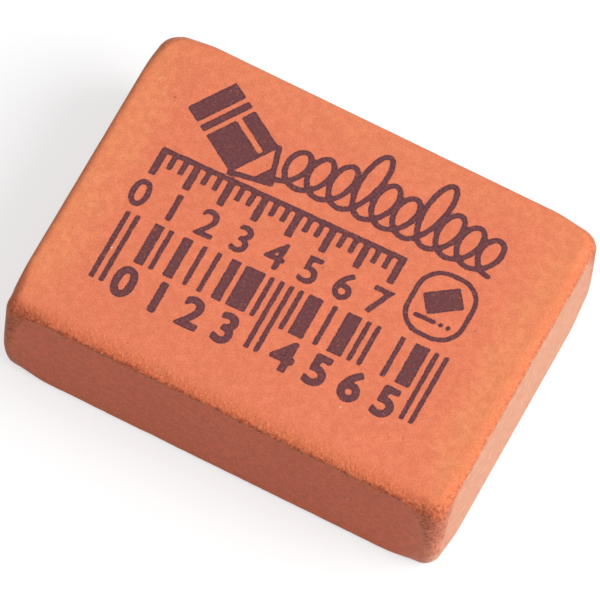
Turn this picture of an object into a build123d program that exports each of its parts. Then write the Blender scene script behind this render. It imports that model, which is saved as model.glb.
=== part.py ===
from build123d import *
import os

os.makedirs("parts", exist_ok=True)

# Block eraser of vulcanised rubber, one piece.
# Frame: origin at the centre of the underside, +X along the long side, +Z up.
# Millimetres.

# Block, as punched from calendered sheet
block_length = 26.0
block_width = 19.0
block_thickness = 7.3

# Upright corners, left by the punch and opened out by tumbling
corner_radius = 1.4

# Rims of the two flat faces, worn round by tumbling
top_rim_radius = 0.6
base_rim_radius = 0.6

# The block is a rounded rectangle pulled up from the ground plane.
with BuildPart() as eraser:
    with BuildSketch(Plane.XY):
        RectangleRounded(block_length, block_width, corner_radius)
    extrude(amount=block_thickness)

    # Both rims run unbroken round the block, corners included.
    top_rim = eraser.faces().sort_by(Axis.Z)[-1].edges()
    fillet(top_rim, top_rim_radius)
    base_rim = eraser.faces().sort_by(Axis.Z)[0].edges()
    fillet(base_rim, base_rim_radius)

eraser_block = eraser.part.solids()[0]
eraser_block.label = "eraser_block"
export_step(eraser_block, "parts/eraser_block.step")
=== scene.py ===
"""Block eraser of vulcanised rubber, laid out as an add-on and run as a script.

The block is one piece: a slab of rubber punched from calendered sheet, tumbled until its rims and
corners are worn round and crumbly, and stamped on its top face with maroon ink. The stamp is made
of generic marks: a pencil that draws a looped line, a numbered scale, a bar pattern with plain
digits, and a ring that holds a small block.
Metres throughout, in the CAD part's frame; sizes written in millimetres are turned by MM.
"""

import math

import bmesh
import bpy
import numpy as np
from mathutils import Matrix, Vector, noise


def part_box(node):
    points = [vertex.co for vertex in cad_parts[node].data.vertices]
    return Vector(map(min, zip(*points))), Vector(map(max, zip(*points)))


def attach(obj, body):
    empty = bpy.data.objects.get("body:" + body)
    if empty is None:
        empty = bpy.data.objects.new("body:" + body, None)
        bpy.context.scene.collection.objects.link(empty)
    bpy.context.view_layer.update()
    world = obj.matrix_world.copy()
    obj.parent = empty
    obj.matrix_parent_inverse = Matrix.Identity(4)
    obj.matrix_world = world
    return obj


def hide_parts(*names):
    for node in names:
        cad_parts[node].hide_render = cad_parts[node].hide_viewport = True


bl_info = {
    "name": "Block eraser",
    "version": (1, 0, 0),
    "blender": (4, 5, 0),
    "location": "View3D > Sidebar > Eraser",
    "description": "Makes a stamped rubber block eraser and a plain studio to show it in",
    "category": "Add Mesh",
}

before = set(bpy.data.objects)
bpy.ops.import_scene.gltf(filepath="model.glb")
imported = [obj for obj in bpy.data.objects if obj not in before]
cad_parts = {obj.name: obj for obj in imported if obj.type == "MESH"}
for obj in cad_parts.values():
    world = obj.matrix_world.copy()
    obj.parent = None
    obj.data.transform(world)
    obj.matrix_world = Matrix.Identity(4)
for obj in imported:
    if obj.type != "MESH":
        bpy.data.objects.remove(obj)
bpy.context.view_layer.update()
block_low, block_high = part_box("eraser_block")

MM = 0.001
BLOCK_NAME = "rubber_block"
RIM = "rim"
WORN = "worn"
WARMTH = "warmth"
POWDER_GLARE = "dust"
HOLLOW = "hollow"
INK = "ink"


def linear(code):
    """A colour written as sRGB hex, as linear red, green and blue."""
    channels = [int(code[i : i + 2], 16) / 255 for i in (1, 3, 5)]
    return tuple(c / 12.92 if c <= 0.04045 else ((c + 0.055) / 1.055) ** 2.4 for c in channels)


def smooth(low, high, value):
    """0 below low, 1 above high, and a smooth ramp between them."""
    t = np.clip((value - low) / (high - low), 0.0, 1.0)
    return t * t * (3.0 - 2.0 * t)


# ---------------------------------------------------------------------------
# Settings that a user would change
# ---------------------------------------------------------------------------


def length(name, description, millimetres):
    """A length setting whose default is given in millimetres."""
    return bpy.props.FloatProperty(
        name=name,
        description=description,
        default=millimetres * MM,
        min=0.0,
        unit="LENGTH",
        precision=6,
    )


def colour(name, description, code):
    """A colour setting whose default is given as sRGB hex."""
    return bpy.props.FloatVectorProperty(
        name=name, description=description, default=linear(code), size=3, min=0.0, max=1.0, subtype="COLOR"
    )


def share(name, description, default):
    """A setting between 0 and 1."""
    return bpy.props.FloatProperty(
        name=name, description=description, default=default, min=0.0, max=1.0, subtype="FACTOR"
    )


def turn(name, description, degrees):
    """An angle setting whose default is given in degrees."""
    return bpy.props.FloatProperty(
        name=name, description=description, default=math.radians(degrees), unit="ROTATION"
    )


def level(name, description, default):
    """A strength of light, where 1 is a plain white level."""
    return bpy.props.FloatProperty(name=name, description=description, default=default, min=0.0)


class EraserBlockSettings(bpy.types.PropertyGroup):
    """Shape of the punched and tumbled block."""

    corner_radius: length("Corner radius", "Mean radius of the upright corners, seen from above", 0.855)
    rim_reach: length("Rim reach", "How far the worn rim reaches in over the top face", 0.9)
    rim_drop: length("Rim drop", "How far the worn rim reaches down the walls", 0.35)
    foot_reach: length("Foot reach", "How far the lower rim reaches in under the block", 0.28)
    foot_drop: length("Foot drop", "How far the lower rim reaches up the walls", 0.46)
    corner_top_reach: length("Top corner reach", "How far the wear reaches in over a corner of the top", 0.7)
    corner_top_drop: length("Top corner drop", "How far the wear runs down an upright corner", 1.24)
    corner_foot_reach: length("Foot corner reach", "How far wear reaches in under a lower corner", 0.45)
    corner_foot_drop: length("Foot corner drop", "How far the wear runs up an upright corner", 2.58)
    corner_spread: length("Corner spread", "How far along a rim a corner's extra wear fades out", 2.8)
    crumb_size: length("Crumb size", "Width of one crumb of the worn rubber", 0.22)
    crumb_depth: length("Crumb depth", "How deep the worn rims are broken up", 0.06)
    chip_size: length("Chip size", "Width of the larger chips along the worn rims", 0.7)
    chip_depth: length("Chip depth", "How deep the larger chips are", 0.05)


class EraserRubberSettings(bpy.types.PropertyGroup):
    """Colours and finish of the rubber."""

    skin: colour("Skin", "Powdered skin of the calendered sheet", "#E4815F")
    rubbed: colour("Rubbed skin", "Skin that handling has rubbed warm, out towards the rims", "#E99063")
    # partly painted shade: the walls are redder than the skin, both as cut rubber and as the skin looks on
    # the shaded walls
    wall: colour("Wall", "Walls left by the punch", "#EC7A5C")
    # painted highlight: pale powder colour, laid thickest on the lit right wall for the key lamp's glare
    powder: colour("Powder", "Powder that clings to the walls", "#F8C9A4")
    fresh: colour("Fresh rubber", "Rubber laid open where the rims are worn", "#DE7146")
    # painted shade: the dark colour painted into the deepest grains of the worn rims and along the crease
    pit: colour("Pits", "Deepest grains of the worn rims", "#A44A37")
    roughness: share("Roughness", "Dull, powdery rubber", 0.9)
    sheen: share("Powder sheen", "Pale bloom of the powder at a shallow angle", 0.7)


class EraserStampSettings(bpy.types.PropertyGroup):
    """The stamp on the top face."""

    ink: colour("Ink", "Maroon stamping ink, sunk into the rubber", "#6D3E41")
    ink_edge: colour("Ink edge", "Ink squeezed out to the edge of a mark", "#57303A")
    ragged: length("Ragged edge", "How far the ink's edge wanders on the powdery skin", 0.04)


class EraserStageSettings(bpy.types.PropertyGroup):
    """Camera, lamps and floor."""

    camera_azimuth: turn("Camera azimuth", "Round the block from the front, towards the right", 20.74)
    camera_elevation: turn("Camera elevation", "Above the floor", 63.66)
    camera_roll: turn("Camera roll", "Turn about the line of sight", 7.23)
    camera_distance: length("Camera distance", "From the middle of the block", 525.9)
    camera_left: length("Camera to the left", "Off the line to the middle of the block", 0.039)
    camera_down: length("Camera down", "Off the line to the middle of the block", 0.119)
    camera_lens: bpy.props.FloatProperty(
        name="Lens",
        description="Focal length in millimetres",
        default=594.3,
        min=1.0,
        subtype="DISTANCE_CAMERA",
    )
    key_level: level("Key level", "Share of a plain white level that the key lamp gives", 1.08)
    sky_level: level("Sky level", "Strength of the even light from all round", 0.43)
    floor: colour("Floor", "Plain pale floor", "#A8A8A8")


# ---------------------------------------------------------------------------
# The block
# ---------------------------------------------------------------------------

# Grid lines of the block's skin, in millimetres: close at the rims, where the crumbs are
RIM_BAND = 1.4
RIM_STEP = 0.075
FACE_STEP = 0.122
WALL_BAND = 0.8
WALL_STEP = 0.30
ON_FACE = 1e-6  # a point nearer than this to a face lies on it

# Each upright corner's radius as a share of the mean, for no two wear alike: back right, back left,
# front right, front left
CORNER_SHARES = (1.09, 1.33, 0.91, 0.67)

# Shares for the front, right, left and back sides: how much of the skin each rim has lost, how far
# its roll reaches in, how warm handling has rubbed the face beside it, and the pale powder on its
# wall, which is full on the lit right wall as a painted highlight of the key lamp's glare
SIDE_WEAR = (1.0, 0.50, 0.20, 0.12)
SIDE_REACH = (1.0, 0.85, 0.50, 0.50)
SIDE_WARMTH = (0.10, 1.0, 0.85, 0.45)
SIDE_POWDER_GLARE = (0.0, 1.0, 0.3, 0.3)
SIDE_BLEND = 0.8

# The part of the grid at each upright corner that is wrapped round it, and how far its pull is felt
FAN = 1.8
FAN_FADE = 4.0

# How much further the crumbs run down an upright corner than down a wall, and how worn corners get
CORNER_STRETCH = 9.0
CORNER_WEAR = 0.75
CORNER_WEAR_PULL = 0.5

# Where crumbs and rubbed skin come in and go out again, each as a pair from none to full or from full
# to none, in millimetres from the rim: below 0 in over the face, above 0 down the wall
TOP_START = (-0.9, -0.1)
TOP_END = (0.15, 0.5)
FOOT_START = (-0.9, -0.2)
FOOT_END = (0.1, 0.5)
FOOT_SHARE = 0.5
WARM_START = (-4.2, -0.4)
FACE_END = (0.0, 0.5)
WANDER_SIZE = 0.9
CRUMB_SHIFT = Vector((7.1, 3.3, 1.9))
CHIP_SHIFT = Vector((3.7, 1.2, 8.4))


def grid_places(half, band, near_step, far_step):
    """Places of the grid lines along one axis from -half to half, close together near both ends."""
    near = int(round(band / near_step))
    far = int(round(2 * (half - band) / far_step))
    edge = np.linspace(-half, -half + band, near + 1)
    middle = np.linspace(-half + band, half - band, far + 1)
    return np.concatenate([edge, middle[1:-1], -edge[::-1]])


def make_grid_box(places):
    """A cube cut into a grid by bmesh, with its grid lines moved to the given places on each axis."""
    grid = bmesh.new()
    bmesh.ops.create_cube(grid, size=2.0)
    for axis in range(3):
        along = [e for e in grid.edges if abs(e.verts[0].co[axis] - e.verts[1].co[axis]) > 1.0]
        bmesh.ops.subdivide_edges(grid, edges=along, cuts=len(places[axis]) - 2, use_grid_fill=True)
    even = [np.linspace(-1.0, 1.0, len(p)) for p in places]
    for v in grid.verts:
        v.co = [np.interp(v.co[k], even[k], places[k]) for k in range(3)]
    return grid


def by_side(points, half, shares):
    """The share of the side nearest to each point, blended round the corners."""
    x, y = points[:, 0], points[:, 1]
    gaps = (half[1] + y, half[0] - x, half[0] + x, half[1] - y)
    pulls = [np.exp(-gap / SIDE_BLEND) for gap in gaps]
    return sum(pull * share for pull, share in zip(pulls, shares)) / sum(pulls)


def roll(along, reach, drop):
    """Rolls a rim over a quarter of an ellipse.

    along is how far a point lies from the rim: below 0 in over the face, above 0 down the wall.
    Returns how far in from the wall and how far from the face the point comes to lie.
    """
    u = np.clip((along + reach) / (reach + drop), 0.0, 1.0) * math.pi / 2
    rolled = (along > -reach) & (along < drop)
    inward = np.where(rolled, reach * (1 - np.sin(u)), np.maximum(-along, 0.0))
    height = np.where(rolled, drop * (1 - np.cos(u)), np.maximum(along, 0.0))
    return inward, height


def wear_to_shape(points, half, cfg):
    """Presses the grid box into the punched and tumbled block.

    Both rims are rolled over, further at the corners, and the grid's rings are then wrapped round
    the upright corners. Returns the new points, and how far each old point lies from the top rim,
    from the foot rim and from a corner.
    """
    hx, hy, hz = half
    x, y, z = points.T
    gap_x, gap_y = hx - abs(x), hy - abs(y)
    depth = np.minimum(gap_x, gap_y)
    far_gap = np.maximum(gap_x, gap_y)
    radius = np.array(CORNER_SHARES)[(x < 0).astype(int) + 2 * (y < 0)] * cfg.corner_radius / MM

    # how far round its corner, or along the rim from it, each point comes to lie
    in_fan = far_gap < FAN
    turned = (far_gap - depth) / np.maximum(FAN - depth, 1e-9)
    quarter = radius * math.pi / 4
    beyond = far_gap - radius + (radius - FAN) * (1 - smooth(0.0, FAN_FADE, far_gap - FAN))
    from_corner = np.where(in_fan, quarter * turned, quarter + beyond)
    corner = 1 - smooth(0.0, cfg.corner_spread / MM, from_corner)
    rim_reach = cfg.rim_reach * by_side(points, half, SIDE_REACH)

    def between(rim_length, corner_length):
        return (rim_length + (corner_length - rim_length) * corner) / MM

    from_top = np.where(z > hz - ON_FACE, -depth, hz - z)
    from_foot = np.where(z < -hz + ON_FACE, -depth, hz + z)
    top_reach = between(rim_reach, cfg.corner_top_reach)
    top_drop = between(cfg.rim_drop, cfg.corner_top_drop)
    foot_reach = between(cfg.foot_reach, cfg.corner_foot_reach)
    foot_drop = between(cfg.foot_drop, cfg.corner_foot_drop)
    top_in, top_down = roll(from_top, top_reach, top_drop)
    foot_in, foot_up = roll(from_foot, foot_reach, foot_drop)
    inward = np.where(z > 0, top_in, foot_in)
    new_z = np.where(z > 0, hz - top_down, foot_up - hz)

    # each ring of the grid is a rounded oblong: its corners take up the fan, its sides the rest
    arc = radius * np.clip(1 - depth / FAN, 0.0, 1.0)
    start = inward + arc
    old_start = np.maximum(FAN, depth)
    bend = np.where(in_fan, 1 - turned, 0.0) * math.pi / 4
    pull = 1 - smooth(0.0, FAN_FADE, far_gap - old_start)
    gap_along = np.where(in_fan, start - arc * np.sin(bend), far_gap + (start - old_start) * pull)
    gap_across = np.where(in_fan, start - arc * np.cos(bend), inward)
    side_x = gap_x <= gap_y
    new_x = np.sign(x) * (hx - np.where(side_x, gap_across, gap_along))
    new_y = np.sign(y) * (hy - np.where(side_x, gap_along, gap_across))
    return np.stack([new_x, new_y, new_z], axis=1), from_top, from_foot, corner


def crumble(points, size):
    """Crumb relief of worn rubber at each point, from 0 on a crumb's crown to 1 in the pits."""
    relief = np.empty(len(points))
    for i, p in enumerate(points):
        spot = Vector(p) / size
        cell = min(noise.voronoi(spot)[0][0] * 1.25, 1.0)
        coarse = 0.5 + 0.5 * noise.noise(spot * 0.45 + CRUMB_SHIFT)
        fine = 0.5 + 0.5 * noise.noise(spot * 1.9)
        relief[i] = 0.5 * cell + 0.3 * coarse + 0.2 * fine
    return np.clip(relief, 0.0, 1.0)


def store(mesh, name, values):
    """Keeps one number a vertex as a named attribute that materials can read."""
    layer = mesh.attributes.get(name) or mesh.attributes.new(name, "FLOAT", "POINT")
    layer.data.foreach_set("value", np.asarray(values, dtype=np.float32))


def read_vectors(items, name):
    """One vector of each item as an array."""
    flat = np.empty(len(items) * 3, dtype=np.float32)
    items.foreach_get(name, flat)
    return flat.reshape(-1, 3).astype(float)


def write_points(mesh, points):
    """Puts the mesh's vertices at these points."""
    mesh.vertices.foreach_set("co", points.astype(np.float32).ravel())
    mesh.update()


def start_mesh(half):
    """The grid box as a mesh in millimetres, with the flat of its underside left as one face."""
    across = [grid_places(side, RIM_BAND, RIM_STEP, FACE_STEP) for side in half[:2]]
    grid = make_grid_box([*across, grid_places(half[2], WALL_BAND, RIM_STEP, WALL_STEP)])
    rest = half - RIM_BAND - 2 * FACE_STEP

    def in_flat(v):
        return v.co.z < -half[2] + ON_FACE and abs(v.co.x) < rest[0] and abs(v.co.y) < rest[1]

    underside = [f for f in grid.faces if all(in_flat(v) for v in f.verts)]
    bmesh.ops.dissolve_faces(grid, faces=underside, use_verts=True)
    mesh = bpy.data.meshes.new(BLOCK_NAME)
    bmesh.ops.recalc_face_normals(grid, faces=grid.faces)
    grid.to_mesh(mesh)
    grid.free()
    return mesh


def rim_wear(points, half, cfg, distances):
    """Crumbs and chips along the rims, deepest where the skin is lost and on the corners.

    Returns how deep each point is worn away, and the attributes that the material reads.
    """
    from_top, from_foot, corner = distances
    worn = by_side(points, half, SIDE_WEAR)
    worn += (CORNER_WEAR - worn) * CORNER_WEAR_PULL * corner**2
    wander = np.array([noise.noise(Vector(p) / WANDER_SIZE) for p in points])
    stretch = 1 + CORNER_STRETCH * corner**4
    near_top = np.where(from_top > 0, from_top / stretch, from_top)
    near_foot = np.where(from_foot > 0, from_foot / stretch, from_foot)
    top_band = smooth(*TOP_START, near_top + 0.2 * wander) * (1 - smooth(*TOP_END, near_top + 0.1 * wander))
    foot_band = smooth(*FOOT_START, near_foot) * (1 - smooth(*FOOT_END, near_foot))
    band = np.maximum(top_band, FOOT_SHARE * foot_band)

    relief = np.full(len(points), 0.5)
    chips = np.zeros(len(points))
    at = np.flatnonzero(band > 0.01)
    relief[at] = crumble(points[at], cfg.crumb_size / MM)
    spots = [Vector(p) * MM / cfg.chip_size + CHIP_SHIFT for p in points[at]]
    chips[at] = [max(noise.noise(spot), 0.0) for spot in spots]

    on_top = 1 - smooth(*FACE_END, near_top)
    rubbed = smooth(*WARM_START, from_top + 0.5 * wander)
    worn_away = band * worn * (relief * cfg.crumb_depth + chips * cfg.chip_depth) / MM
    return worn_away, {
        RIM: near_top,
        WORN: worn,
        WARMTH: by_side(points, half, SIDE_WARMTH) * rubbed * on_top,
        # pale powder on the walls; on the lit right wall it is a painted highlight of the key lamp's glare
        POWDER_GLARE: by_side(points, half, SIDE_POWDER_GLARE) * (1 - on_top),
        HOLLOW: relief,
        INK: np.full(len(points), NO_INK),
    }


class EraserMakeBlock(bpy.types.Operator):
    """Make the rubber block, worn at its rims and corners"""

    bl_idname = "eraser.make_block"
    bl_label = "Rubber block"

    def execute(self, context):
        cfg = context.scene.eraser_block
        middle = np.array((block_low + block_high) / 2)
        half = np.array((block_high - block_low) / 2) / MM
        mesh = start_mesh(half)
        points, *distances = wear_to_shape(read_vectors(mesh.vertices, "co"), half, cfg)
        write_points(mesh, points * MM)
        worn_away, attributes = rim_wear(points, half, cfg, distances)
        points -= read_vectors(mesh.vertex_normals, "vector") * worn_away[:, None]
        write_points(mesh, np.clip(points, -half, half) * MM + middle)
        for name, values in attributes.items():
            store(mesh, name, values)
        mesh.polygons.foreach_set("use_smooth", np.ones(len(mesh.polygons), dtype=bool))

        block = bpy.data.objects.new(BLOCK_NAME, mesh)
        context.collection.objects.link(block)
        mesh.materials.append(vulcanised_rubber(context.scene))
        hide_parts("eraser_block")
        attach(block, "root")
        return {"FINISHED"}


# ---------------------------------------------------------------------------
# The stamp, in millimetres from the middle of the top face
# ---------------------------------------------------------------------------

STAMP_LEAN = 0.0245  # the stamp's lines climb to the right by this much a millimetre
STAMP_PRESS = 0.2  # how far down over the rims the stamp still prints
NO_INK = -1.0  # depth of ink where the stamp never came
FAR = 0.6  # depth of ink is only worked out this near to a mark

PENCIL_BUTT = (-9.0, 6.95)
PENCIL_TIP = (-3.85, 3.6)
PENCIL_WIDTH = 3.0
PENCIL_CAP = 1.05
PENCIL_BAND = (1.3, 1.72)
PENCIL_BODY = (1.97, 4.5)
PENCIL_FACET = 0.5
PALE_LINE = 0.30

LINE_START = PENCIL_TIP[0]
LINE_END = 8.75
LINE_BASE = 3.95
LINE_WIDTH = 0.32
LOOP_HEIGHTS = (2.2, 2.4, 2.6, 4.0, 2.6, 2.4, 4.0, 2.6, 2.4, 2.2)
LOOP_SWING = 0.85
LOOP_SLANT = 0.12

SCALE_LEFT = -9.65
SCALE_TOP = 3.0
SCALE_LONG = 1.8
SCALE_SHORT = 1.15
SCALE_NUMBERS = 8
SCALE_PARTS = 3
SCALE_PITCH = 2.0
SCALE_LONG_WIDTH = 0.42
SCALE_SHORT_WIDTH = 0.32
SCALE_DIGIT_MIDDLE = -0.03
SCALE_DIGIT_HEIGHT = 1.72

CODE_DIGITS = "01234565"
CODE_LEFT = -9.8
CODE_MODULE = 0.283
CODE_TOP = -1.29
CODE_FOOT = -3.88
CODE_GUARD_FOOT = -5.68
CODE_DIGIT_MIDDLE = -5.15
CODE_DIGIT_HEIGHT = 1.95
LEFT_BARS = (
    "0001101",
    "0011001",
    "0010011",
    "0111101",
    "0100011",
    "0110001",
    "0101111",
    "0111011",
    "0110111",
    "0001011",
)

RING_MIDDLE = (7.35, 1.23)
RING_HALF = (1.62, 1.93)
RING_CORNER = 1.35
RING_WIDTH = 0.28
BADGE_BLOCK = (1.85, 1.15)
BADGE_TILT = 35.0
BADGE_RISE = 0.35
BADGE_LINE_DROP = 1.0
BADGE_LINE_HALF = 0.95
BADGE_CRUMBS = 2


def segments(path, closed=True):
    """The straight pieces of an outline or a line, as pairs of points."""
    path = np.asarray(path, dtype=float)
    ends = np.roll(path, -1, axis=0) if closed else path[1:]
    return np.stack([path if closed else path[:-1], ends], axis=1)


def distance_to(points, pieces):
    """Shortest distance from each point to any of the pieces."""
    best = np.full(len(points), np.inf)
    for a, b in pieces:
        run = b - a
        t = np.clip((points - a) @ run / max(run @ run, 1e-12), 0.0, 1.0)
        best = np.minimum(best, np.linalg.norm(points - a - t[:, None] * run, axis=1))
    return best


def inside(points, pieces):
    """True for each point that lies within the closed outlines, holes left out."""
    odd = np.zeros(len(points), dtype=bool)
    px, py = points.T
    for (ax, ay), (bx, by) in pieces:
        crosses = (ay > py) != (by > py)
        rise = by - ay if by != ay else 1e-12
        odd ^= crosses & (px < ax + (py - ay) * (bx - ax) / rise)
    return odd


class Stamp:
    """Depth of every point within the marks of the stamp, in millimetres: positive is ink."""

    def __init__(self, points):
        self.points = points
        self.depth = np.full(len(points), -FAR)

    def near(self, pieces, margin):
        """The points close enough to these pieces to be changed by them."""
        low = pieces.reshape(-1, 2).min(axis=0) - margin
        high = pieces.reshape(-1, 2).max(axis=0) + margin
        return np.flatnonzero(((self.points > low) & (self.points < high)).all(axis=1))

    def mark(self, pieces, bold=0.0):
        """Inks a closed outline, made bolder by an even margin."""
        at = self.near(pieces, FAR + bold)
        away = distance_to(self.points[at], pieces)
        depth = np.where(inside(self.points[at], pieces), away, -away) + bold
        self.join(at, depth, pale=False)

    def stroke(self, pieces, width, pale=False):
        """Inks a line of the given width with round ends, or clears it if pale."""
        at = self.near(pieces, FAR + width)
        self.join(at, width / 2 - distance_to(self.points[at], pieces), pale)

    def join(self, at, depth, pale):
        """Adds a mark to the ink, or takes a pale mark out of it."""
        if pale:
            self.depth[at] = np.minimum(self.depth[at], -depth)
        else:
            self.depth[at] = np.maximum(self.depth[at], depth)


def box_outline(left, foot, right, top):
    """A rectangle's outline."""
    return segments([(left, foot), (right, foot), (right, top), (left, top)])


def digit_outline(text, height, middle):
    """The outline of a plain digit of the given height, centred on a point."""
    curve = bpy.data.curves.new("digit", "FONT")
    curve.body = text
    letter = bpy.data.objects.new("digit", curve)
    bpy.context.collection.objects.link(letter)
    shape = bpy.data.meshes.new_from_object(letter.evaluated_get(bpy.context.evaluated_depsgraph_get()))
    grid = bmesh.new()
    grid.from_mesh(shape)
    bmesh.ops.remove_doubles(grid, verts=grid.verts, dist=1e-6)
    edges = [[v.co.xy[:] for v in e.verts] for e in grid.edges if e.is_boundary]
    grid.free()
    bpy.data.objects.remove(letter)
    bpy.data.meshes.remove(shape)
    bpy.data.curves.remove(curve)
    pieces = np.array(edges)
    low, high = pieces.reshape(-1, 2).min(axis=0), pieces.reshape(-1, 2).max(axis=0)
    return (pieces - (low + high) / 2) * height / (high[1] - low[1]) + np.array(middle)


def stamp_pencil(stamp):
    """A stout pencil, drawn slanting down to the start of the looped line."""
    butt, tip = np.array(PENCIL_BUTT), np.array(PENCIL_TIP)
    whole = np.linalg.norm(tip - butt)
    along = (tip - butt) / whole
    across = np.array((-along[1], along[0]))

    def place(outline):
        """Points given along and across the pencil, put on the face."""
        return [butt + t * along + s * across for t, s in outline]

    half = PENCIL_WIDTH / 2
    for start, end in ((0.0, PENCIL_CAP), PENCIL_BAND, PENCIL_BODY):
        stamp.mark(segments(place([(start, -half), (end, -half), (end, half), (start, half)])))
    shoulder = PENCIL_BODY[1]
    cone = segments(place([(shoulder, half), (whole, 0.0), (shoulder, -half)]), closed=False)
    stamp.stroke(cone, LINE_WIDTH)
    lead = shoulder + (whole - shoulder) * 0.62
    lead_half = half * (whole - lead) / (whole - shoulder)
    stamp.mark(segments(place([(lead, lead_half), (whole, 0.0), (lead, -lead_half)])), bold=LINE_WIDTH / 2)
    facet = segments(place([(PENCIL_BODY[0], PENCIL_FACET), (shoulder - 0.35, PENCIL_FACET)]), closed=False)
    stamp.stroke(facet, PALE_LINE, pale=True)


def stamp_looped_line(stamp):
    """The line that the pencil draws: pen loops of two heights along one base line."""
    pitch = (LINE_END - LINE_START) / len(LOOP_HEIGHTS)
    path = []
    for k, height in enumerate(LOOP_HEIGHTS):
        for s in np.linspace(0.0, 2 * math.pi, 28)[: 28 if k == len(LOOP_HEIGHTS) - 1 else 27]:
            rise = height * (1 - math.cos(s)) / 2
            x = LINE_START + pitch * (k + s / (2 * math.pi)) + LOOP_SWING * math.sin(s) + LOOP_SLANT * rise
            path.append((x, LINE_BASE + rise))
    stamp.stroke(segments(path, closed=False), LINE_WIDTH)


def stamp_scale(stamp):
    """A scale of long and short ticks hung from one rule, numbered from 0."""
    count = (SCALE_NUMBERS - 1) * SCALE_PARTS
    right = SCALE_LEFT + SCALE_PITCH * (SCALE_NUMBERS - 1)
    rule = SCALE_TOP - SCALE_SHORT_WIDTH / 2
    stamp.stroke(segments([(SCALE_LEFT, rule), (right, rule)], closed=False), SCALE_SHORT_WIDTH)
    for k in range(count + 1):
        x = SCALE_LEFT + SCALE_PITCH * k / SCALE_PARTS
        long = k % SCALE_PARTS == 0
        width = SCALE_LONG_WIDTH if long else SCALE_SHORT_WIDTH
        drop = SCALE_LONG if long else SCALE_SHORT
        stamp.mark(box_outline(x - width / 2, SCALE_TOP - drop, x + width / 2, SCALE_TOP))
    for k in range(SCALE_NUMBERS):
        middle = (SCALE_LEFT + SCALE_PITCH * k, SCALE_DIGIT_MIDDLE)
        stamp.mark(digit_outline(str(k), SCALE_DIGIT_HEIGHT - 0.1, middle), bold=0.05)


def bar_modules():
    """The bar pattern as one string of dark and light modules, with where each digit starts."""
    half = len(CODE_DIGITS) // 2
    left = "".join(LEFT_BARS[int(d)] for d in CODE_DIGITS[:half])
    flipped = str.maketrans("01", "10")
    right = "".join(LEFT_BARS[int(d)].translate(flipped) for d in CODE_DIGITS[half:])
    return "101", left, "01010", right, "101"


def stamp_bars(stamp):
    """The bar pattern, with longer guard bars, and its plain digits beneath."""
    place = CODE_LEFT
    digit = 0
    for part in bar_modules():
        guard = len(part) < 7
        foot = CODE_GUARD_FOOT if guard else CODE_FOOT
        start = 0
        while start < len(part):
            end = start
            while end < len(part) and part[end] == part[start]:
                end += 1
            if part[start] == "1":
                left = place + start * CODE_MODULE
                stamp.mark(box_outline(left, foot, place + end * CODE_MODULE, CODE_TOP))
            start = end
        if not guard:
            for k in range(len(part) // 7):
                middle = (place + (7 * k + 3.5) * CODE_MODULE, CODE_DIGIT_MIDDLE)
                outline = digit_outline(CODE_DIGITS[digit], CODE_DIGIT_HEIGHT - 0.2, middle)
                stamp.mark(outline, bold=0.10)
                digit += 1
        place += len(part) * CODE_MODULE


def stamp_badge(stamp):
    """A rounded ring that holds a small block rubbing on a line."""
    mx, my = RING_MIDDLE
    hx, hy = RING_HALF
    ring = []
    for sx, sy, start in ((1, 1, 0), (-1, 1, 90), (-1, -1, 180), (1, -1, 270)):
        for a in np.radians(np.linspace(start, start + 90, 9)):
            cx, cy = mx + sx * (hx - RING_CORNER), my + sy * (hy - RING_CORNER)
            ring.append((cx + RING_CORNER * math.cos(a), cy + RING_CORNER * math.sin(a)))
    stamp.stroke(segments(ring), RING_WIDTH)

    tilt = math.radians(BADGE_TILT)
    turned = np.array(((math.cos(tilt), -math.sin(tilt)), (math.sin(tilt), math.cos(tilt))))
    bx, by = BADGE_BLOCK[0] / 2, BADGE_BLOCK[1] / 2
    middle = np.array((mx, my + BADGE_RISE))
    block = [middle + turned @ np.array(p) for p in ((-bx, -by), (bx, -by), (bx, by), (-bx, by))]
    stamp.mark(segments(block), bold=0.08)
    line = my - BADGE_LINE_DROP
    stamp.stroke(segments([(mx - BADGE_LINE_HALF, line), (mx + 0.1, line)], closed=False), RING_WIDTH)
    for k in range(BADGE_CRUMBS):
        spot = (mx + 0.5 + 0.42 * k, line)
        stamp.stroke(segments([spot, spot], closed=False), RING_WIDTH)


class EraserStampFace(bpy.types.Operator):
    """Stamp the marks on the block's top face"""

    bl_idname = "eraser.stamp_face"
    bl_label = "Stamp"

    def execute(self, context):
        block = bpy.data.objects.get(BLOCK_NAME)
        if block is None:
            raise RuntimeError("make the rubber block before its stamp")
        points = read_vectors(block.data.vertices, "co") / MM
        middle = np.array((block_low + block_high) / 2) / MM
        top = block_high.z / MM
        face = np.flatnonzero(points[:, 2] > top - STAMP_PRESS)
        spots = points[face, :2] - middle[:2]
        spots[:, 1] -= STAMP_LEAN * spots[:, 0]
        stamp = Stamp(spots)
        stamp_pencil(stamp)
        stamp_looped_line(stamp)
        stamp_scale(stamp)
        stamp_bars(stamp)
        stamp_badge(stamp)
        ink = np.full(len(points), -FAR)
        ink[face] = stamp.depth
        store(block.data, INK, ink)
        return {"FINISHED"}


# ---------------------------------------------------------------------------
# Materials
# ---------------------------------------------------------------------------


def add_node(tree, kind, inputs=None, **settings):
    """Adds one node, with its settings, and with values or links for its inputs."""
    node = tree.nodes.new(kind)
    for name, value in settings.items():
        setattr(node, name, value)
    for name, value in (inputs or {}).items():
        socket = node.inputs[name]
        if isinstance(value, bpy.types.NodeSocket):
            tree.links.new(value, socket)
        else:
            socket.default_value = value
    return node


def per_mm(size):
    """Texture scale that makes one unit of a pattern this many millimetres wide."""
    return 1 / (size * MM)


def new_material(name):
    """An empty node material, its tree and its output node."""
    material = bpy.data.materials.new(name)
    material.use_nodes = True
    material.node_tree.nodes.clear()
    return material, material.node_tree, add_node(material.node_tree, "ShaderNodeOutputMaterial")
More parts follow.
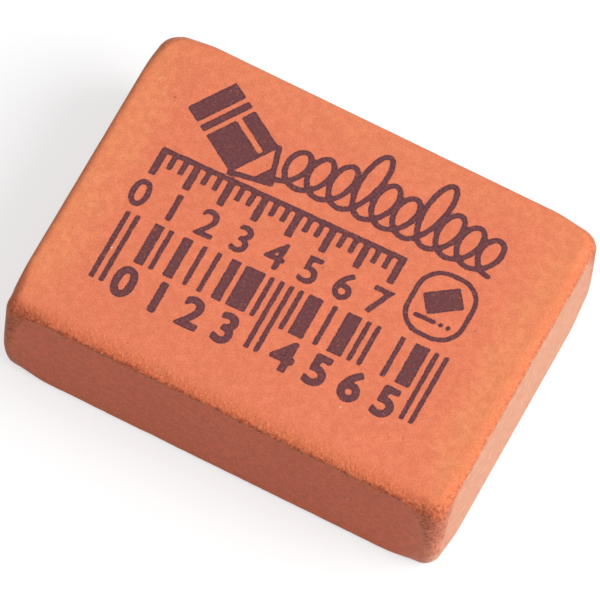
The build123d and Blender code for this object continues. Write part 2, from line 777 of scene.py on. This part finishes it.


# Tints that break up the main colours: patches and mottles of the skin, a painted highlight on the crowns of
# the crumbs, specks of filler, thin and thick ink, and the bloom of the powder, which is a little warm
PATCH_TINT = "#EE7A5C"
MOTTLE_TINT = "#D36A4B"
CROWN_HIGHLIGHT = "#F09C70"
RED_SPECK = "#A04E38"
BROWN_SPECK = "#A85A40"
PALE_SPECK = "#F8D2BC"
THIN_INK = "#8F5C56"
THICK_INK = "#553038"
BLOOM_TINT = "#FFEFDC"
POWDER_GLARE_COVER = 0.60

# Depth of the relief that is finer than the mesh, in millimetres
TOOTH_DEPTH = 0.008
GRIT_DEPTH = 0.08


def vulcanised_rubber(scene):
    """Vulcanised rubber filled with pumice, calendered, punched, tumbled and stamped.

    The eye gets a dull, powdery salmon skin, clouded and lightly specked, a warmer, crumbly grain
    where the rims are worn, with painted shade in its pits and along the crease and a painted highlight
    on its crowns, walls that are redder in part as painted shade and paler on the right as painted
    glare, and maroon ink that has sunk in with a ragged, darker edge.
    """
    rubber, stamp = scene.eraser_rubber, scene.eraser_stamp
    material, tree, output = new_material("vulcanised_rubber_calendered")

    def rgba(value):
        return (*value, 1.0)

    def flat(code):
        return rgba(linear(code))

    def math_node(operation, a, b):
        return add_node(tree, "ShaderNodeMath", {0: a, 1: b}, operation=operation).outputs["Value"]

    def times(a, b):
        return math_node("MULTIPLY", a, b)

    def off_middle(value):
        """A pattern between 0 and 1, moved to lie about 0."""
        return math_node("SUBTRACT", value, 0.5)

    def ramp(value, low, high, to_low=0.0, to_high=1.0):
        inputs = {"Value": value, "From Min": low, "From Max": high, "To Min": to_low, "To Max": to_high}
        node = add_node(tree, "ShaderNodeMapRange", inputs, interpolation_type="SMOOTHSTEP")
        return node.outputs["Result"]

    def mix(factor, a, b):
        inputs = {"Factor": factor, 6: a, 7: b}
        return add_node(tree, "ShaderNodeMix", inputs, data_type="RGBA").outputs[2]

    def shade(colour_in, level):
        """A colour made lighter or darker by a level that lies about 1."""
        scaled = add_node(tree, "ShaderNodeVectorMath", {0: colour_in, "Scale": level}, operation="SCALE")
        return scaled.outputs["Vector"]

    place = add_node(tree, "ShaderNodeTexCoord").outputs["Object"]

    def noise_at(size, detail=2.0, rough=0.5):
        inputs = {"Vector": place, "Scale": per_mm(size), "Detail": detail, "Roughness": rough}
        return add_node(tree, "ShaderNodeTexNoise", inputs).outputs["Fac"]

    def specks(size, radius, share_of_cells, shift):
        """1 in small round specks, one to some of the cells of this size."""
        moved = add_node(tree, "ShaderNodeVectorMath", {0: place, 1: (shift * MM,) * 3}, operation="ADD")
        cells = add_node(tree, "ShaderNodeTexVoronoi", {"Vector": moved.outputs[0], "Scale": per_mm(size)})
        spot = ramp(cells.outputs["Distance"], radius / size, radius / size * 0.5)
        pick = add_node(tree, "ShaderNodeSeparateColor", {"Color": cells.outputs["Color"]}).outputs[0]
        return times(spot, math_node("LESS_THAN", pick, share_of_cells))

    def attribute(name):
        return add_node(tree, "ShaderNodeAttribute", attribute_name=name).outputs["Fac"]

    rim, worn, hollow, ink_depth = (attribute(name) for name in (RIM, WORN, HOLLOW, INK))
    warmth, dust = attribute(WARMTH), attribute(POWDER_GLARE)

    # sizes in millimetres, from clumps of filler down to the grain of the powder
    cloud = noise_at(3.0, 3.0, 0.6)
    patch = noise_at(1.1, 2.0, 0.6)
    mottle = noise_at(0.45, 3.0, 0.65)
    crumb = noise_at(0.17, 2.0, 0.7)
    grain = noise_at(0.09, 2.0, 0.6)

    # skin: clouded at the size of the filler's clumps, warmer towards the rims, finely grained
    skin = mix(ramp(warmth, 0.0, 1.0), rgba(rubber.skin), rgba(rubber.rubbed))
    # walls: a redder colour, partly painted shade, mixed with pale powder, a painted highlight on the lit
    # right wall
    wall = mix(times(dust, POWDER_GLARE_COVER), rgba(rubber.wall), rgba(rubber.powder))
    skin = mix(ramp(rim, 0.05, 0.55), skin, wall)
    skin = shade(skin, ramp(cloud, 0.35, 0.65, 0.985, 1.015))
    skin = mix(ramp(patch, 0.35, 0.65, 0.0, 0.16), skin, flat(PATCH_TINT))
    skin = mix(ramp(mottle, 0.70, 0.35, 0.0, 0.30), skin, flat(MOTTLE_TINT))
    skin = shade(skin, ramp(mottle, 0.30, 0.70, 0.99, 1.05))
    skin = shade(skin, ramp(grain, 0.30, 0.70, 0.90, 1.10))

    # worn rims: the skin gives way to crumbs of fresh rubber along a wandering line, painted darker in the
    # pits as painted shade and lighter on the crowns as a painted highlight
    near = math_node("ADD", rim, times(off_middle(mottle), 1.3))
    near = math_node("ADD", near, times(off_middle(crumb), 0.6))
    band = times(times(ramp(near, -1.3, 0.1), ramp(near, 0.75, 0.30)), worn)
    sunk = math_node("ADD", times(hollow, 0.3), math_node("SUBTRACT", 0.85, crumb))
    fresh = mix(ramp(sunk, 0.48, 0.72, 0.0, 0.40), rgba(rubber.fresh), rgba(rubber.pit))
    fresh = mix(ramp(crumb, 0.52, 0.68, 0.0, 0.50), fresh, flat(CROWN_HIGHLIGHT))
    body = mix(times(band, 0.75), skin, fresh)

    # painted shade: dark, ragged grains are scattered along the very crease, where the top turns down to the
    # wall
    crease_shade = times(ramp(near, -0.30, 0.15), ramp(near, 0.65, 0.20))
    crease_shade = times(crease_shade, ramp(worn, 0.1, 0.8, 0.10, 1.0))
    dark = times(crease_shade, ramp(sunk, 0.46, 0.60, 0.05, 0.70))
    body = mix(dark, body, rgba(rubber.pit))

    # specks of filler, dark and pale
    body = mix(times(specks(0.8, 0.070, 0.40, 0.0), 0.60), body, flat(RED_SPECK))
    body = mix(times(specks(2.3, 0.110, 0.45, 9.0), 0.65), body, flat(BROWN_SPECK))
    body = mix(times(specks(1.7, 0.075, 0.45, 5.0), 0.80), body, flat(PALE_SPECK))

    # ink: its edge wanders, is darker than the middle, and lets the powder through in places
    wander = math_node("ADD", off_middle(grain), off_middle(mottle))
    soaked = math_node("ADD", ink_depth, times(wander, 3 * stamp.ragged / MM))
    covered = ramp(soaked, -0.025, 0.025)
    ink = mix(ramp(soaked, 0.01, 0.13), rgba(stamp.ink_edge), rgba(stamp.ink))
    ink = mix(ramp(crumb, 0.45, 0.70, 0.0, 0.45), ink, flat(THIN_INK))
    ink = mix(ramp(grain, 0.50, 0.30, 0.0, 0.50), ink, flat(THICK_INK))
    worn_through = ramp(noise_at(0.2, 2.0, 0.6), 0.60, 0.76, 1.0, 0.74)
    surface = mix(times(covered, worn_through), body, ink)

    # relief finer than the mesh: crumbs at the rims, and the powder's own tooth elsewhere
    tooth = times(math_node("ADD", grain, mottle), TOOTH_DEPTH * MM)
    grit = times(crumb, GRIT_DEPTH * MM)
    relief = math_node("ADD", tooth, times(grit, band))
    bump = add_node(tree, "ShaderNodeBump", {"Height": relief, "Strength": 1.0, "Distance": 1.0})

    shader = add_node(
        tree,
        "ShaderNodeBsdfPrincipled",
        {
            "Base Color": surface,
            "Roughness": rubber.roughness,
            "IOR": 1.5,
            "Specular IOR Level": 0.2,
            "Sheen Weight": rubber.sheen,
            "Sheen Roughness": 0.3,
            "Sheen Tint": flat(BLOOM_TINT),
            "Normal": bump.outputs["Normal"],
        },
    )
    tree.links.new(shader.outputs[0], output.inputs["Surface"])
    return material


# What the floor gives the camera over its paint, so that it is white where nothing shades it
FLOOR_LIFT = 0.65
WHITE = (1.0, 1.0, 1.0, 1.0)


def painted_floor(tint):
    """Plain pale floor, painted matt: white to the camera where nothing shades it."""
    material, tree, output = new_material("painted_floor")
    paint = add_node(tree, "ShaderNodeBsdfDiffuse", {"Color": (*tint, 1.0)})
    seen = add_node(tree, "ShaderNodeLightPath").outputs["Is Camera Ray"]
    level = add_node(tree, "ShaderNodeMath", {0: seen, 1: FLOOR_LIFT}, operation="MULTIPLY").outputs[0]
    lift = add_node(tree, "ShaderNodeEmission", {"Color": WHITE, "Strength": level})
    both = add_node(tree, "ShaderNodeAddShader", {0: paint.outputs[0], 1: lift.outputs[0]})
    tree.links.new(both.outputs[0], output.inputs["Surface"])
    return material


# ---------------------------------------------------------------------------
# The stage
# ---------------------------------------------------------------------------

FLOOR_SIZE = 4.0
KEY_DISTANCE = 0.6
KEY_SIZE = 0.5
KEY_AZIMUTH = 98.0
KEY_ELEVATION = 42.0
CAMERA_CLIP = (0.01, 10.0)


def direction(azimuth, elevation):
    """Unit vector from the block towards a point at this azimuth and elevation, in radians."""
    level = math.cos(elevation)
    return Vector((math.sin(azimuth) * level, -math.cos(azimuth) * level, math.sin(elevation)))


class EraserMakeStage(bpy.types.Operator):
    """Make the floor, the lamps, the even light and the camera"""

    bl_idname = "eraser.make_stage"
    bl_label = "Stage"

    def execute(self, context):
        scene, cfg = context.scene, context.scene.eraser_stage
        middle = (block_low + block_high) / 2

        plane = bmesh.new()
        bmesh.ops.create_grid(plane, x_segments=1, y_segments=1, size=FLOOR_SIZE / 2)
        mesh = bpy.data.meshes.new("floor")
        plane.to_mesh(mesh)
        plane.free()
        mesh.materials.append(painted_floor(cfg.floor))
        floor = bpy.data.objects.new("floor", mesh)
        scene.collection.objects.link(floor)

        lamp = bpy.data.lights.new("key", "AREA")
        lamp.shape = "DISK"
        lamp.size = KEY_SIZE
        lamp.energy = cfg.key_level * math.pi**2 * KEY_DISTANCE**2
        key = bpy.data.objects.new("key", lamp)
        aim = direction(math.radians(KEY_AZIMUTH), math.radians(KEY_ELEVATION))
        key.location = middle + aim * KEY_DISTANCE
        key.rotation_euler = aim.to_track_quat("Z", "Y").to_euler()
        scene.collection.objects.link(key)

        world = bpy.data.worlds.new("studio")
        world.use_nodes = True
        tree = world.node_tree
        tree.nodes.clear()
        path = add_node(tree, "ShaderNodeLightPath").outputs
        inputs = {0: path["Is Camera Ray"], 1: path["Is Glossy Ray"]}
        shown = add_node(tree, "ShaderNodeMath", inputs, operation="MAXIMUM").outputs[0]
        inputs = {0: shown, 1: path["Is Transmission Ray"]}
        shown = add_node(tree, "ShaderNodeMath", inputs, operation="MAXIMUM").outputs[0]
        inputs = {"Value": shown, "To Min": cfg.sky_level, "To Max": 1.0}
        level = add_node(tree, "ShaderNodeMapRange", inputs).outputs["Result"]
        sky = add_node(tree, "ShaderNodeBackground", {"Color": WHITE, "Strength": level})
        end = add_node(tree, "ShaderNodeOutputWorld", {"Surface": sky.outputs[0]})
        end.is_active_output = True
        scene.world = world

        optics = bpy.data.cameras.new("camera")
        optics.lens = cfg.camera_lens
        optics.clip_start, optics.clip_end = CAMERA_CLIP
        camera = bpy.data.objects.new("camera", optics)
        back = direction(cfg.camera_azimuth, cfg.camera_elevation)
        facing = back.to_track_quat("Z", "Y").to_matrix() @ Matrix.Rotation(cfg.camera_roll, 3, "Z")
        eye = middle + back * cfg.camera_distance - facing @ Vector((cfg.camera_left, cfg.camera_down, 0))
        camera.matrix_world = Matrix.Translation(eye) @ facing.to_4x4()
        scene.collection.objects.link(camera)
        scene.camera = camera
        scene.view_settings.view_transform = "Standard"
        return {"FINISHED"}


# ---------------------------------------------------------------------------
# Panel and registration
# ---------------------------------------------------------------------------


class EraserPanel(bpy.types.Panel):
    """Lists the eraser's makers and their settings"""

    bl_idname = "VIEW3D_PT_eraser"
    bl_label = "Block eraser"
    bl_space_type = "VIEW_3D"
    bl_region_type = "UI"
    bl_category = "Eraser"

    def draw(self, context):
        scene = context.scene
        rows = (
            (EraserMakeBlock, (scene.eraser_block, scene.eraser_rubber)),
            (EraserStampFace, (scene.eraser_stamp,)),
            (EraserMakeStage, (scene.eraser_stage,)),
        )
        for maker, groups in rows:
            column = self.layout.column(align=True)
            column.operator(maker.bl_idname)
            for group in groups:
                for name in group.bl_rna.properties.keys():
                    if name not in ("rna_type", "name"):
                        column.prop(group, name)


SETTINGS = {
    "eraser_block": EraserBlockSettings,
    "eraser_rubber": EraserRubberSettings,
    "eraser_stamp": EraserStampSettings,
    "eraser_stage": EraserStageSettings,
}
CLASSES = (*SETTINGS.values(), EraserMakeBlock, EraserStampFace, EraserMakeStage, EraserPanel)


def register():
    """Registers the classes and hangs the settings on the scene."""
    for cls in CLASSES:
        bpy.utils.register_class(cls)
    for name, group in SETTINGS.items():
        setattr(bpy.types.Scene, name, bpy.props.PointerProperty(type=group))


def unregister():
    """Undoes register."""
    for name in SETTINGS:
        delattr(bpy.types.Scene, name)
    for cls in reversed(CLASSES):
        bpy.utils.unregister_class(cls)


def main():
    """Makes the block, its stamp and the stage."""
    register()
    bpy.ops.eraser.make_block()
    bpy.ops.eraser.stamp_face()
    bpy.ops.eraser.make_stage()


if __name__ == "__main__":
    main()
